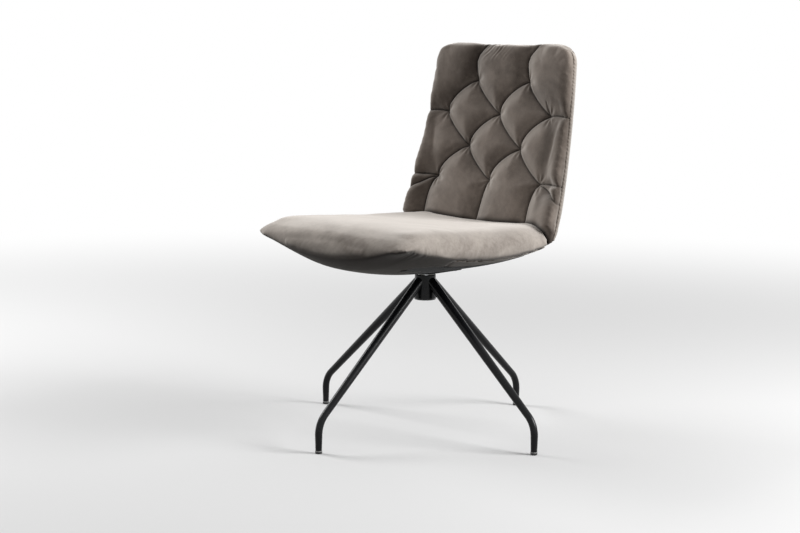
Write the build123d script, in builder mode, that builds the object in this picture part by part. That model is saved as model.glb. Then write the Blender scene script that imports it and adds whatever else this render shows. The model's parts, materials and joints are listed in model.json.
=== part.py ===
"""Swivel dining chair: upholstered seat and tufted back turning on a four-legged tube base.

Millimetres, +Z up. The origin is on the floor under the swivel axis. The seat faces -Y.
"""

import os
from math import atan2, cos, degrees, radians, sin, sqrt, tan

from build123d import *

# ---------------------------------------------------------------- driving dimensions

# legs
foot_reach = 345.0  # swivel axis to the middle of a foot
knee_height = 69.3  # where the two straight runs of a leg would meet
leg_end_drop = 15.4  # the centre lines of the legs end this far below the top of the hub
knee_radius = 60.0
foot_diameter = 14.8
knee_diameter = 17.0
hub_end_diameter = 24.0
leg_wall = 1.8
cope_reach = 18.0  # the tubes run this near to the axis before the hub copes them

# feet
glide_height = 5.0
glide_diameter = 16.0
glide_chamfer = 1.0
plug_rim = 1.8
plug_diameter = 15.6
plug_stem = 16.0
pin_diameter = 4.0
pin_length = 7.0

# hub
hub_bottom = 318.0
hub_top = 376.0
hub_top_diameter = 50.0
hub_bottom_diameter = 54.0
hub_bore = 34.0
hub_end_bevel = 1.5
hub_waist = 22.0  # the flare ends this far above the bottom
bush_seat = 40.0
bush_length = 14.0
bush_flange = 46.0
bush_flange_thickness = 2.0
lower_bush_top = 348.0
washer_pocket = 44.0
cap_lip = 2.5
cap_dome = 1.8
cap_plug = 5.0
cap_wall = 2.0
cap_flat = 6.0  # radius of the level middle of the dome

# spindle and its fixings
spindle_diameter = 25.0
running_clearance = 0.05
seat_clearance = 0.05
axial_play = 0.1
thrust_thickness = 2.0
thrust_diameter = 44.0
collar_diameter = 40.0
collar_height = 7.0
retaining_washer_diameter = 36.0
retaining_washer_thickness = 2.5
retaining_bolt_diameter = 10.0
retaining_bolt_length = 26.0
retaining_head_flats = 16.0
retaining_head_height = 6.0

# swivel plate
plate_side = 130.0
plate_thickness = 4.0
plate_corner = 14.0
plate_bolt_pitch = 100.0
plate_bolt_diameter = 6.0
plate_bolt_head = 11.0
plate_bolt_head_height = 3.2
block_side = 124.0
tee_nut_barrel = 8.0
tee_nut_flange = 19.0
tee_nut_flange_thickness = 1.2

# seat boards
seat_board_thickness = 12.0
seat_board_under_gap = 33.0  # top of the swivel plate up to the board
seat_board_margin = 50.0  # its sides lie this far inside the sides of the seat
seat_board_bevel = 22.0
seat_board_edge = 3.0  # left square above the bevel
seat_board_front = -238.0
seat_board_rear = 162.0
seat_board_front_corner = 112.0
seat_board_rear_corner = 40.0

# seat cushion
keel_above_plate = 0.6  # lowest line of the underside over the swivel plate
keel_front = -100.0  # in front of this the underside climbs to the nose
keel_rear = 50.0
keel_front_rise = 0.00077
keel_rear_rise = 0.00060
seam_low = 437.5  # the side seam at the middle of the seat
seam_rise = 0.00053
shoulder_inset = 40.0
shoulder_spread_start = 40.0
shoulder_rear_spread = 46.0
seat_crown = 519.0  # the highest line of the seat, close to the nose
seat_half_width = 237.0
seat_flare = 0.014  # half width gained per millimetre rearward
nose_start = -272.0  # the cushion begins to close here
nose_length = 64.0
nose_drop = 54.0  # the middle of the nose lies this far below the highest line of the seat
nose_corner_rise = 20.0  # the front corners stand this much above the middle of the nose
nose_shoulder_fall = 5.0
seat_rear_middle = 188.0  # where the seat top meets the back
seat_rear_drop = 32.0  # the seat top has fallen this far where it meets the back
seat_rear_lean = 16.0
band_front = -155.0  # the panel under the side seam starts here
soft_gap = 0.4

# dust cover
dust_cover_margin = 47.0  # its edge lies this far inside the side of the seat
dust_cover_front = -213.0
dust_cover_rear = 158.0
dust_cover_corner = 34.0
dust_cover_thickness = 1.0
dust_cover_gap = 0.8
dust_cover_trim = 4.0  # it is cut from a sheet this much larger all round

# back
back_origin_y = 245.0
back_origin_z = 708.0
back_lean = 11.6  # degrees
back_half_width = 229.0
back_taper = 0.070  # half width lost per millimetre upwards
back_foot = -150.0  # below this the sides draw in to the corner of the seat
back_foot_taper = 0.0003
side_foot = -170.0  # below this the side border narrows to a point
side_foot_height = 90.0
side_foot_loss = 0.8
side_foot_rise = 42.0  # slope of the underside behind the seat, degrees
foot_turn_start = 176.0  # the underside turns up here
rear_edge_inset = 5.0
back_bow = 0.2253e-3  # how the face dishes from bottom to top
back_wrap = 0.2155e-3  # how the face dishes from side to side
back_top = 213.0
top_corner = 42.0
top_roll = 12.0
top_roll_height = 18.0
back_bottom = -330.0
pad_depth = 28.0
back_board_thickness = 8.0
back_depth = 52.0
side_roll = 10.0
side_roll_width = 16.0
pad_side_share = 0.5  # the pad makes up this much of the side, the rear panel the rest
side_depth = 18.0
back_board_inset = 30.0
back_board_top = 188.0
back_board_bottom = -268.0
back_board_corner = 40.0
border_thickness = 1.4
border_gap = 0.6

# tufting
tuft_pitch = 165.0
tuft_row_pitch = 82.3
tuft_depth = 12.0
tuft_radius = 21.0
crease_depth = 6.0
crease_radius = 34.0
pleat_depth = 4.0
pleat_radius = 12.0
pleat_foot = -245.0
twine_diameter = 2.0
twine_button = 12.0
twine_button_thickness = 1.4
twine_button_gap = 1.3  # the flat discs stand this far off the curved board at their middle

# brackets between the boards
bracket_width = 26.0
bracket_thickness = 4.0
bracket_spacing = 160.0
bracket_seat_leg = 92.0
bracket_back_leg_top = -118.0
bracket_back_leg_foot = -278.0
bracket_bend = 7.0
screw_head = 9.0
screw_head_height = 2.4
screw_shank = 4.0
screw_grip = 7.5

# ---------------------------------------------------------------- places worked out from them

hub_face_top = hub_top + bush_flange_thickness + thrust_thickness
plate_bottom = hub_face_top + collar_height
plate_top = plate_bottom + plate_thickness
seat_keel = plate_top + keel_above_plate
nose_height = seat_crown - nose_drop
seat_rear_height = seat_crown - seat_rear_drop
wall_reach = seat_half_width + 23.0  # half width of the tools that cut the rear of the seat
tool_reach = 400.0  # the cutting tools run this far out
spindle_bottom = lower_bush_top - bush_length - axial_play
seat_board_bottom = plate_top + seat_board_under_gap
seat_board_top = seat_board_bottom + seat_board_thickness
board_run = seat_board_rear - seat_board_front
seat_board_width = 2 * (seat_half_width - seat_board_margin)
board_middle = (seat_board_rear + seat_board_front) / 2

back_up = Vector(0, sin(radians(back_lean)), cos(radians(back_lean)))
back_rearward = Vector(0, cos(radians(back_lean)), -sin(radians(back_lean)))
back_origin = Vector(0, back_origin_y, back_origin_z)

os.makedirs("parts", exist_ok=True)


def save(piece, name):
    """Label a finished piece and write it to its own file."""
    piece.part.label = name
    export_step(piece.part, f"parts/{name}.step")


# ---------------------------------------------------------------- hub

lower_bush_bottom = lower_bush_top - bush_length


def hub_outline():
    """The flared outside of the hub as a solid of revolution, used for the hub and its copes."""
    with BuildPart() as solid:
        with BuildSketch(Plane.XZ):
            with BuildLine():
                Polyline(
                    (0, hub_bottom),
                    (hub_bottom_diameter / 2, hub_bottom),
                    (hub_top_diameter / 2, hub_bottom + hub_waist),
                    (hub_top_diameter / 2, hub_top),
                    (0, hub_top),
                    close=True,
                )
            make_face()
        revolve(axis=Axis.Z)
    return solid.part


with BuildPart() as hub_sleeve:
    add(hub_outline())
    rim_edges = hub_sleeve.edges().filter_by(GeomType.CIRCLE).sort_by(Axis.Z)
    chamfer([rim_edges[0], rim_edges[-1]], length=hub_end_bevel)
    with Locations((0, 0, hub_top)):
        CounterBoreHole(
            radius=hub_bore / 2,
            counter_bore_radius=bush_seat / 2,
            counter_bore_depth=bush_length,
            depth=hub_top - hub_bottom,
        )
    with BuildSketch(Plane.XY.offset(lower_bush_top)):
        Circle(bush_seat / 2)
    extrude(amount=-bush_length, mode=Mode.SUBTRACT)
    with BuildSketch(Plane.XY.offset(lower_bush_bottom)):
        Circle(washer_pocket / 2)
    extrude(amount=hub_bottom - lower_bush_bottom, mode=Mode.SUBTRACT)
save(hub_sleeve, "hub_sleeve")

# ---------------------------------------------------------------- legs

leg_rise = degrees(atan2(hub_top - leg_end_drop - knee_height, foot_reach - cope_reach))
knee_turn = 90.0 - leg_rise
knee_run = knee_radius * tan(radians(knee_turn / 2))
glide_top = glide_height + plug_rim
foot_end = Vector(foot_reach, glide_top)
slope = Vector(-cos(radians(leg_rise)), sin(radians(leg_rise)))
knee = Vector(foot_reach, knee_height)
knee_start = knee - Vector(0, knee_run)
knee_end = knee + slope * knee_run
hub_end = knee + slope * ((foot_reach - cope_reach) / -slope.X)


def across(point, direction):
    """The plane square to the leg at a point of its centre line."""
    return Plane(origin=(point.X, 0, point.Y), x_dir=(0, 1, 0), z_dir=(direction.X, 0, direction.Y))


def leg_form(inset):
    """The tapered, bent leg over +X, its surface drawn in by inset."""
    up = Vector(0, 1)
    foot_radius = foot_diameter / 2 - inset
    middle_radius = knee_diameter / 2 - inset
    hub_radius = hub_end_diameter / 2 - inset
    low_run = (knee_start - foot_end).length
    long_run = (hub_end - knee_end).length
    from_below = (Align.CENTER, Align.CENTER, Align.MIN)
    with BuildPart() as form:
        with Locations(across(foot_end, up)):
            Cone(foot_radius, middle_radius, low_run, align=from_below)
        with BuildSketch(across(knee_start, up)):
            Circle(middle_radius)
        bend_axis = Axis((foot_reach - knee_radius, 0, knee_start.Y), (0, -1, 0))
        revolve(axis=bend_axis, revolution_arc=knee_turn)
        with Locations(across(knee_end, slope)):
            Cone(middle_radius, hub_radius, long_run, align=from_below)
    return form.part


with BuildPart() as leg_blank:
    add(leg_form(0.0))
    add(leg_form(leg_wall), mode=Mode.SUBTRACT)
    add(hub_outline(), mode=Mode.SUBTRACT)

leg_places = {"right": 0.0, "back": 90.0, "left": 180.0, "front": 270.0}
for side, turn in leg_places.items():
    with BuildPart() as leg:
        add(leg_blank.part.rotate(Axis.Z, turn))
    save(leg, f"leg_{side}")

# ---------------------------------------------------------------- feet

foot_bore = foot_diameter - 2 * leg_wall
for side, turn in leg_places.items():
    foot_x = foot_reach * cos(radians(turn))
    foot_y = foot_reach * sin(radians(turn))
    with BuildPart() as plug:
        with BuildSketch(Plane((foot_x, foot_y, glide_height))):
            Circle(plug_diameter / 2)
        extrude(amount=plug_rim)
        with BuildSketch(Plane((foot_x, foot_y, glide_top))):
            Circle(foot_bore / 2 - seat_clearance)
        extrude(amount=plug_stem)
        stem_end = plug.faces().sort_by(Axis.Z)[-1].edges()
        chamfer(stem_end, length=glide_chamfer)
        with BuildSketch(Plane((foot_x, foot_y, glide_height))):
            Circle(pin_diameter / 2 + seat_clearance)
        extrude(amount=pin_length + seat_clearance, mode=Mode.SUBTRACT)
    save(plug, f"foot_plug_{side}")
    with BuildPart() as glide:
        with BuildSketch(Plane((foot_x, foot_y, 0))):
            Circle(glide_diameter / 2)
        extrude(amount=glide_height)
        chamfer(glide.edges().sort_by(Axis.Z)[0], length=glide_chamfer)
        with BuildSketch(Plane((foot_x, foot_y, glide_height))):
            Circle(pin_diameter / 2)
        extrude(amount=pin_length)
    save(glide, f"foot_glide_{side}")

# ---------------------------------------------------------------- bearing pieces

bush_bore = spindle_diameter / 2 + running_clearance

with BuildPart() as upper_bush:
    with BuildSketch(Plane.XY.offset(hub_top - bush_length)):
        Circle(bush_seat / 2 - seat_clearance)
    extrude(amount=bush_length)
    with BuildSketch(Plane.XY.offset(hub_top)):
        Circle(bush_flange / 2)
    extrude(amount=bush_flange_thickness)
    with Locations((0, 0, hub_top + bush_flange_thickness)):
        Hole(radius=bush_bore)
save(upper_bush, "upper_bush")

with BuildPart() as lower_bush:
    with BuildSketch(Plane.XY.offset(lower_bush_bottom)):
        Circle(bush_seat / 2 - seat_clearance)
        Circle(bush_bore, mode=Mode.SUBTRACT)
    extrude(amount=bush_length)
save(lower_bush, "lower_bush")

with BuildPart() as thrust_washer:
    with BuildSketch(Plane.XY.offset(hub_top + bush_flange_thickness)):
        Circle(thrust_diameter / 2)
        Circle(spindle_diameter / 2 + seat_clearance, mode=Mode.SUBTRACT)
    extrude(amount=thrust_thickness - axial_play)
save(thrust_washer, "thrust_washer")

cap_floor = hub_bottom - cap_lip
cap_edge = hub_bottom_diameter / 2 - hub_end_bevel
dome_rim = (cap_flat, cap_floor - cap_dome)
with BuildPart() as hub_cap:
    with BuildSketch(Plane.XZ):
        with BuildLine():
            Polyline(
                dome_rim,
                (cap_edge, cap_floor),
                (cap_edge, hub_bottom),
                (washer_pocket / 2 - seat_clearance, hub_bottom),
                (washer_pocket / 2 - seat_clearance, hub_bottom + cap_plug),
                (washer_pocket / 2 - cap_wall, hub_bottom + cap_plug),
                (washer_pocket / 2 - cap_wall, hub_bottom),
                (0, hub_bottom),
                (0, cap_floor - cap_dome),
                dome_rim,
            )
        make_face()
    revolve(axis=Axis.Z)
save(hub_cap, "hub_cap")

# ---------------------------------------------------------------- spindle

with BuildPart() as spindle:
    with BuildSketch(Plane.XY.offset(spindle_bottom)):
        Circle(spindle_diameter / 2)
    extrude(amount=hub_face_top - spindle_bottom)
    chamfer(spindle.edges().sort_by(Axis.Z)[0], length=glide_chamfer)
    with BuildSketch(Plane.XY.offset(hub_face_top)):
        Circle(collar_diameter / 2)
    extrude(amount=collar_height)
    with BuildSketch(Plane.XY.offset(spindle_bottom)):
        Circle(retaining_bolt_diameter / 2 + seat_clearance)
    extrude(amount=retaining_bolt_length + 2 * glide_chamfer, mode=Mode.SUBTRACT)
save(spindle, "spindle")

with BuildPart() as retaining_washer:
    with BuildSketch(Plane.XY.offset(spindle_bottom)):
        Circle(retaining_washer_diameter / 2)
        Circle(retaining_bolt_diameter / 2 + seat_clearance, mode=Mode.SUBTRACT)
    extrude(amount=-retaining_washer_thickness)
save(retaining_washer, "retaining_washer")

with BuildPart() as retaining_bolt:
    with BuildSketch(Plane.XY.offset(spindle_bottom - retaining_washer_thickness)):
        Circle(retaining_bolt_diameter / 2)
    extrude(amount=retaining_bolt_length)
    with BuildSketch(Plane.XY.offset(spindle_bottom - retaining_washer_thickness)):
        RegularPolygon(radius=retaining_head_flats / 2, side_count=6, major_radius=False)
    extrude(amount=-retaining_head_height)
save(retaining_bolt, "retaining_bolt")

# ---------------------------------------------------------------- swivel plate and its bolts

plate_bolt_top = seat_board_top - tee_nut_flange_thickness

with BuildPart() as swivel_plate:
    with BuildSketch(Plane.XY.offset(plate_bottom)):
        RectangleRounded(plate_side, plate_side, plate_corner)
        with GridLocations(plate_bolt_pitch, plate_bolt_pitch, 2, 2):
            Circle(plate_bolt_diameter / 2 + seat_clearance, mode=Mode.SUBTRACT)
    extrude(amount=plate_thickness)
save(swivel_plate, "swivel_plate")

with BuildPart() as plate_bolts:
    with BuildSketch(Plane.XY.offset(plate_bottom)):
        with GridLocations(plate_bolt_pitch, plate_bolt_pitch, 2, 2):
            Circle(plate_bolt_diameter / 2)
    extrude(amount=plate_bolt_top - plate_bottom)
    with BuildSketch(Plane.XY.offset(plate_bottom)):
        with GridLocations(plate_bolt_pitch, plate_bolt_pitch, 2, 2):
            Circle(plate_bolt_head / 2)
    extrude(amount=-plate_bolt_head_height)
    chamfer(plate_bolts.faces().group_by(Axis.Z)[0].edges(), length=plate_bolt_head_height * 0.3)
save(plate_bolts, "plate_bolts")

with BuildPart() as tee_nuts:
    with BuildSketch(Plane.XY.offset(plate_bolt_top)):
        with GridLocations(plate_bolt_pitch, plate_bolt_pitch, 2, 2):
            Circle(tee_nut_flange / 2)
    extrude(amount=tee_nut_flange_thickness)
    with BuildSketch(Plane.XY.offset(plate_bolt_top)):
        with GridLocations(plate_bolt_pitch, plate_bolt_pitch, 2, 2):
            Circle(tee_nut_barrel / 2)
    extrude(amount=-seat_board_thickness * 0.75)
    with BuildSketch(Plane.XY.offset(seat_board_top)):
        with GridLocations(plate_bolt_pitch, plate_bolt_pitch, 2, 2):
            Circle(plate_bolt_diameter / 2 + seat_clearance)
    extrude(amount=-seat_board_thickness, mode=Mode.SUBTRACT)
save(tee_nuts, "tee_nuts")

with BuildPart() as mounting_block:
    with BuildSketch(Plane.XY.offset(plate_top)):
        RectangleRounded(block_side, block_side, plate_corner)
        with GridLocations(plate_bolt_pitch, plate_bolt_pitch, 2, 2):
            Circle(plate_bolt_diameter / 2 + seat_clearance, mode=Mode.SUBTRACT)
    extrude(amount=seat_board_bottom - plate_top)
save(mounting_block, "mounting_block")

# ---------------------------------------------------------------- seat surfaces


def keel_height(y):
    """Lowest line of the underside: level in the middle, climbing to the nose and the rear."""
    front_part = max(0.0, keel_front - y)
    rear_part = max(0.0, y - keel_rear)
    return seat_keel + keel_front_rise * front_part**2 + keel_rear_rise * rear_part**2


def seam_height(y):
    """The side seam sweeps up to the front corner and to the rear corner."""
    return seam_low + seam_rise * y**2


# from the rear to the nose: how far the top lies below the highest line, at its middle and at its shoulders
crown_falls = [
    (204.0, 36.0, 29.0),
    (130.0, 25.0, 20.0),
    (60.0, 21.5, 19.5),
    (-10.0, 17.0, 17.6),
    (-80.0, 11.0, 13.0),
    (-145.0, 5.0, 8.0),
    (-200.0, 1.0, 5.0),
    (-243.0, 0.0, 4.5),
    (nose_start, 1.5, 6.5),
]
nose_steps = [0.35, 0.65, 0.87, 0.97]  # shares of the nose's length


def seat_half_width_at(y):
    """The seat is a little wider at the rear, and its front edge is gently curved."""
    into_nose = max(0.0, nose_start - y) / nose_length
    return (seat_half_width + seat_flare * y) * (1 - into_nose**6) ** 0.35


def hull_height(x, half_width, seam, keel):
    """Height of the underside arc, which runs from seam to seam through the keel."""
    rise = seam - keel
    radius = (half_width**2 + rise**2) / (2 * rise)
    return keel + radius - sqrt(radius**2 - x**2)


def shoulder_inset_at(y, half_width):
    """The rolled side widens towards the back and narrows with the nose."""
    into_rear = max(0.0, y - shoulder_spread_start) / (seat_rear_middle - shoulder_spread_start)
    return (shoulder_inset + shoulder_rear_spread * into_rear**2) * min(1.0, half_width / seat_half_width)


def seat_section(y, half_width, crown, shoulder, seam, keel):
    """Crowned top, rolled sides drawn in to the seam, and the hull below it."""
    shoulder_x = half_width - shoulder_inset_at(y, half_width)
    with BuildSketch(Plane.XZ.offset(-y)) as section:
        with BuildLine():
            top = ThreePointArc((-shoulder_x, shoulder), (0, crown), (shoulder_x, shoulder))
            TangentArc((shoulder_x, shoulder), (half_width, seam), tangent=top % 1)
            ThreePointArc((half_width, seam), (0, keel), (-half_width, seam))
            TangentArc((-shoulder_x, shoulder), (-half_width, seam), tangent=(top % 0) * -1)
        make_face()
    return section.sketch


with BuildPart() as seat_envelope:
    for y, crown_fall, shoulder_fall in crown_falls:
        half_width = seat_half_width_at(y)
        crown = seat_crown - crown_fall
        shoulder = seat_crown - shoulder_fall
        add(seat_section(y, half_width, crown, shoulder, seam_height(y), keel_height(y)))
    loft()
    widest = half_width
    top_crown = crown
    add(seat_section(nose_start, widest, crown, shoulder, seam_height(nose_start), keel_height(nose_start)))
    for step in nose_steps:
        y = nose_start - nose_length * step
        closing = sqrt(1 - step**2)
        half_width = seat_half_width_at(y)
        crown = nose_height + (top_crown - nose_height) * closing
        keel = nose_height - (nose_height - keel_height(y)) * closing
        seam = nose_height + nose_corner_rise * (half_width / widest) ** 2
        rolled = crown - nose_shoulder_fall * closing
        shoulder_x = half_width - shoulder_inset_at(y, half_width)
        lens_fall = hull_height(shoulder_x, half_width, crown, seam)
        shoulder = rolled + (seam + crown - lens_fall - rolled) * step
        add(seat_section(y, half_width, crown, shoulder, seam, keel))
    loft()

# the back stands behind this leaning, wrapped wall
seat_rear_edge = seat_rear_middle - back_wrap * wall_reach**2
rear_lean_direction = Vector(0, sin(radians(seat_rear_lean)), cos(radians(seat_rear_lean)))
rear_wall_above = seat_rear_drop + 28
rear_wall_below = seat_rear_height - seat_keel + 60
soft_wall_above = 10.0  # the pad of the back is cut up to this far above the rear edge of the seat


def rear_wall_zone(offset, far_y, height_above, height_below):
    """All that lies between the wall behind the seat, moved by offset, and the far side."""
    with BuildPart() as zone:
        with BuildSketch(Plane.XY.offset(seat_rear_height)) as outline:
            with BuildLine():
                ThreePointArc(
                    (-wall_reach, seat_rear_edge + offset),
                    (0, seat_rear_middle + offset),
                    (wall_reach, seat_rear_edge + offset),
                )
                Polyline(
                    (wall_reach, seat_rear_edge + offset),
                    (wall_reach, far_y),
                    (-wall_reach, far_y),
                    (-wall_reach, seat_rear_edge + offset),
                )
            make_face()
        extrude(outline.sketch, amount=height_above, dir=rear_lean_direction)
        extrude(outline.sketch, amount=height_below, dir=rear_lean_direction * -1)
    return zone.part


# ---------------------------------------------------------------- back surfaces


def back_plane(s):
    """The plane across the back at s along its height: local x sideways, local y rearward."""
    return Plane(origin=back_origin + back_up * s, x_dir=(1, 0, 0), z_dir=back_up)


def bow(s):
    return -back_bow * s**2


def wrap(x):
    return -back_wrap * x**2


def outline_at(s):
    """Half width of the back at s, with its rounded top corners."""
    into_corner = max(0.0, s - (back_top - top_corner))
    rounding = top_corner - sqrt(top_corner**2 - into_corner**2)
    into_foot = max(0.0, back_foot - s)
    return back_half_width - back_taper * s - rounding - back_foot_taper * into_foot**2


def roll_at(s):
    """How far the face has rolled back at s near the top."""
    into_roll = max(0.0, s - (back_top - top_roll_height)) / top_roll_height
    return top_roll * (1 - sqrt(1 - into_roll**2))


def seam_depth(s):
    """Depth of the front seam at the side of the back."""
    return bow(s) + wrap(outline_at(s)) + side_roll + roll_at(s) * 0.4


def side_depth_at(s):
    """The side border narrows towards the corner of the seat."""
    into_foot = min(1.0, max(0.0, side_foot - s) / side_foot_height)
    return side_depth * (1 - side_foot_loss * into_foot**2)


def rear_inset_at(s):
    """How far the rear edge lies inside the outline."""
    return rear_edge_inset * side_depth_at(s) / side_depth


def parting_depth(x, s):
    """Depth of the surface where the pad meets the board, from the centre line to the side."""
    half = outline_at(s)
    at_side = seam_depth(s) + side_depth_at(s) * pad_side_share
    at_middle = bow(s) + pad_depth
    return at_middle + (at_side - at_middle) * (x / half) ** 2


def pad_section(s):
    half = outline_at(s)
    face_x = half - side_roll_width
    face_y = bow(s) + wrap(face_x) + roll_at(s)
    seam_y = seam_depth(s)
    side_y = parting_depth(half, s)
    with BuildSketch(back_plane(s)) as section:
        with BuildLine():
            face = ThreePointArc((-face_x, face_y), (0, bow(s) + roll_at(s)), (face_x, face_y))
            TangentArc((face_x, face_y), (half, seam_y), tangent=face % 1)
            Line((half, seam_y), (half, side_y))
            ThreePointArc((half, side_y), (0, bow(s) + pad_depth), (-half, side_y))
            Line((-half, side_y), (-half, seam_y))
            TangentArc((-face_x, face_y), (-half, seam_y), tangent=(face % 0) * -1)
        make_face()
    return section.sketch


def rear_section(s):
    half = outline_at(s)
    rear_half = half - rear_inset_at(s)
    front_y = parting_depth(half, s) + soft_gap
    rear_y = seam_depth(s) + side_depth_at(s) - roll_at(s) * 0.5
    with BuildSketch(back_plane(s)) as section:
        with BuildLine():
            ThreePointArc((-half, front_y), (0, bow(s) + pad_depth + soft_gap), (half, front_y))
            Line((half, front_y), (rear_half, rear_y))
            rear_middle = (0, bow(s) + back_depth - roll_at(s))
            ThreePointArc((rear_half, rear_y), rear_middle, (-rear_half, rear_y))
            Line((-rear_half, rear_y), (-half, front_y))
        make_face()
    return section.sketch


def board_section(s, growth):
    """The moulded back board between two arcs, or the larger pocket that it lies in."""
    reach = back_half_width - back_taper * s - back_board_inset + growth
    front_side = parting_depth(reach, s) + soft_gap / 2 - growth / 4
    front_middle = parting_depth(0, s) + soft_gap / 2 - growth / 4
    thickness = back_board_thickness + growth / 2
    with BuildSketch(back_plane(s)) as section:
        with BuildLine():
            ThreePointArc((-reach, front_side), (0, front_middle), (reach, front_side))
            Line((reach, front_side), (reach, front_side + thickness))
            ThreePointArc(
                (reach, front_side + thickness),
                (0, front_middle + thickness),
                (-reach, front_side + thickness),
            )
            Line((-reach, front_side + thickness), (-reach, front_side))
        make_face()
    return section.sketch


board_stations = [back_board_bottom, -175.0, -100.0, -30.0, 30.0, 80.0, 120.0, 150.0, back_board_top]
back_face_plane = Plane(origin=back_origin, x_dir=(1, 0, 0), z_dir=back_rearward)


def board_outline(growth):
    """The moulded board with its rounded corners, grown all round."""
    width = 2 * (back_half_width - back_taper * back_board_bottom - back_board_inset + growth)
    height = back_board_top - back_board_bottom
    with BuildPart() as board:
        for s in board_stations:
            add(board_section(s, growth))
        loft()
        with BuildSketch(back_face_plane):
            with Locations((0, -(back_board_top + back_board_bottom) / 2)):
                RectangleRounded(width, height, back_board_corner)
        extrude(amount=100, both=True, mode=Mode.INTERSECT)
    return board.part


corner_start = back_top - top_corner
back_stations = [back_bottom, -250.0, -175.0, -100.0, -30.0, 30.0, 80.0, 120.0, 150.0]
back_stations += [corner_start + top_corner * sin(radians(turn)) for turn in (0, 20, 42, 65, 90)]


def below_hull_zone():
    """All that lies below the underside of the seat, which turns up behind it under the back."""
    side = wall_reach + 2
    depth = tool_reach / 2
    y = seat_rear_middle
    keel = keel_height(y)
    edge = hull_height(side, seat_half_width_at(y), seam_height(y), keel)
    rising = Vector(0, cos(radians(side_foot_rise)), sin(radians(side_foot_rise)))
    with BuildPart() as zone:
        with BuildSketch(Plane.XZ.offset(-foot_turn_start)) as outline:
            with BuildLine():
                ThreePointArc((-side, edge), (0, keel), (side, edge))
                Polyline((side, edge), (side, keel - depth), (-side, keel - depth), (-side, edge))
            make_face()
        extrude(outline.sketch, amount=depth, dir=rising)
        extrude(outline.sketch, amount=depth / 3, dir=(0, -1, 0))
    return zone.part


def face_point(x, s, depth):
    """A point at some depth behind the face of the back."""
    return back_origin + Vector(x, 0, 0) + back_up * s + back_rearward * (bow(s) + wrap(x) + depth)


tuft_places = []
for row, side_count in enumerate((1, 2, 1, 2)):
    row_s = (1.5 - row) * tuft_row_pitch
    if side_count == 1:
        row_xs = (-tuft_pitch / 2, tuft_pitch / 2)
    else:
        row_xs = (-tuft_pitch, 0.0, tuft_pitch)
    for x in row_xs:
        tuft_places.append((x, row_s))

crease_places = []
for x, s in tuft_places:
    for other_x, other_s in tuft_places:
        neighbours = abs(abs(other_x - x) - tuft_pitch / 2) < 1
        if neighbours and abs(s - tuft_row_pitch - other_s) < 1:
            crease_places.append((x, s, other_x, other_s))


def crease(start, end, radius, depth):
    """Press a round-bottomed crease into the face along a straight line between two points."""
    lift = back_rearward * (depth - radius)
    run = end - start
    with Locations(Plane(origin=(start + end) / 2 + lift, z_dir=run)):
        Cylinder(radius, run.length, mode=Mode.SUBTRACT)


# ---------------------------------------------------------------- brackets between the boards

bracket_x = bracket_spacing / 2
bracket_edge = bracket_x + bracket_width / 2
leg_top_height = seat_board_top + soft_gap / 2 + bracket_thickness


def bracket_back_point(s, lift):
    """A point in front of the back board, lifted off it, in the plane of a bracket."""
    depth = parting_depth(bracket_edge, s) - soft_gap / 2 - lift
    point = back_origin + back_up * s + back_rearward * depth
    return Vector(point.Y, point.Z)


def bracket_line(lift):
    """The bent line of a bracket at some height above the seat board and off the back board."""
    low = bracket_back_point(bracket_back_leg_foot, lift)
    high = bracket_back_point(bracket_back_leg_top, lift)
    height = seat_board_top + soft_gap / 2 + lift
    corner = low + (high - low) * ((height - low.Y) / (high.Y - low.Y))
    return (seat_board_rear - bracket_seat_leg, height), corner, high


def bracket_form(x, thickness, width):
    """A flat bar bent to run along the seat board and up the back board."""
    bend = bracket_bend + bracket_thickness / 2
    with BuildPart() as form:
        with BuildSketch(Plane.YZ.offset(x)):
            with BuildLine():
                FilletPolyline(*bracket_line(bracket_thickness / 2), radius=bend)
            trace(line_width=thickness)
        extrude(amount=width / 2, both=True)
    return form.part


def bracket_pockets():
    """The room that the brackets and their screw heads take out of the foam."""
    room = bracket_thickness + 2 * screw_head_height + 2 * soft_gap
    with BuildPart() as room_block:
        add(bracket_form(-bracket_x, room, bracket_width + 2))
        add(bracket_form(bracket_x, room, bracket_width + 2))
    return room_block.part


under_heads = bracket_thickness + seat_clearance
back_leg_low = bracket_back_point(bracket_back_leg_foot, under_heads)
back_leg_high = bracket_back_point(bracket_back_leg_top, under_heads)
back_leg_run = (back_leg_high - back_leg_low).normalized()
screw_planes = []
for x in (-bracket_x, bracket_x):
    for step in (0.25, 0.65):
        seat_point = (x, seat_board_rear - bracket_seat_leg * step, leg_top_height)
        screw_planes.append(Plane(origin=seat_point, x_dir=(1, 0, 0), z_dir=(0, 0, -1)))
        along = back_leg_high - (back_leg_high - back_leg_low) * (step * 0.8)
        into_board = (0, back_leg_run.Y, -back_leg_run.X)
        screw_planes.append(Plane(origin=(x, along.X, along.Y), x_dir=(1, 0, 0), z_dir=into_board))

screw_hole = screw_shank / 2 + seat_clearance
for side, x in (("left", -bracket_x), ("right", bracket_x)):
    with BuildPart() as bracket:
        add(bracket_form(x, bracket_thickness, bracket_width))
        with Locations(*screw_planes):
            Cylinder(screw_hole, 3 * bracket_thickness, mode=Mode.SUBTRACT)
    save(bracket, f"bracket_{side}")

on_plane = (Align.CENTER, Align.CENTER, Align.MIN)
above_plane = (Align.CENTER, Align.CENTER, Align.MAX)
with BuildPart() as bracket_screws:
    with Locations(*screw_planes):
        Cylinder(screw_shank / 2, screw_grip + bracket_thickness, align=on_plane)
        Cylinder(screw_head / 2, screw_head_height, align=above_plane)
save(bracket_screws, "bracket_screws")

# ---------------------------------------------------------------- seat board

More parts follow.
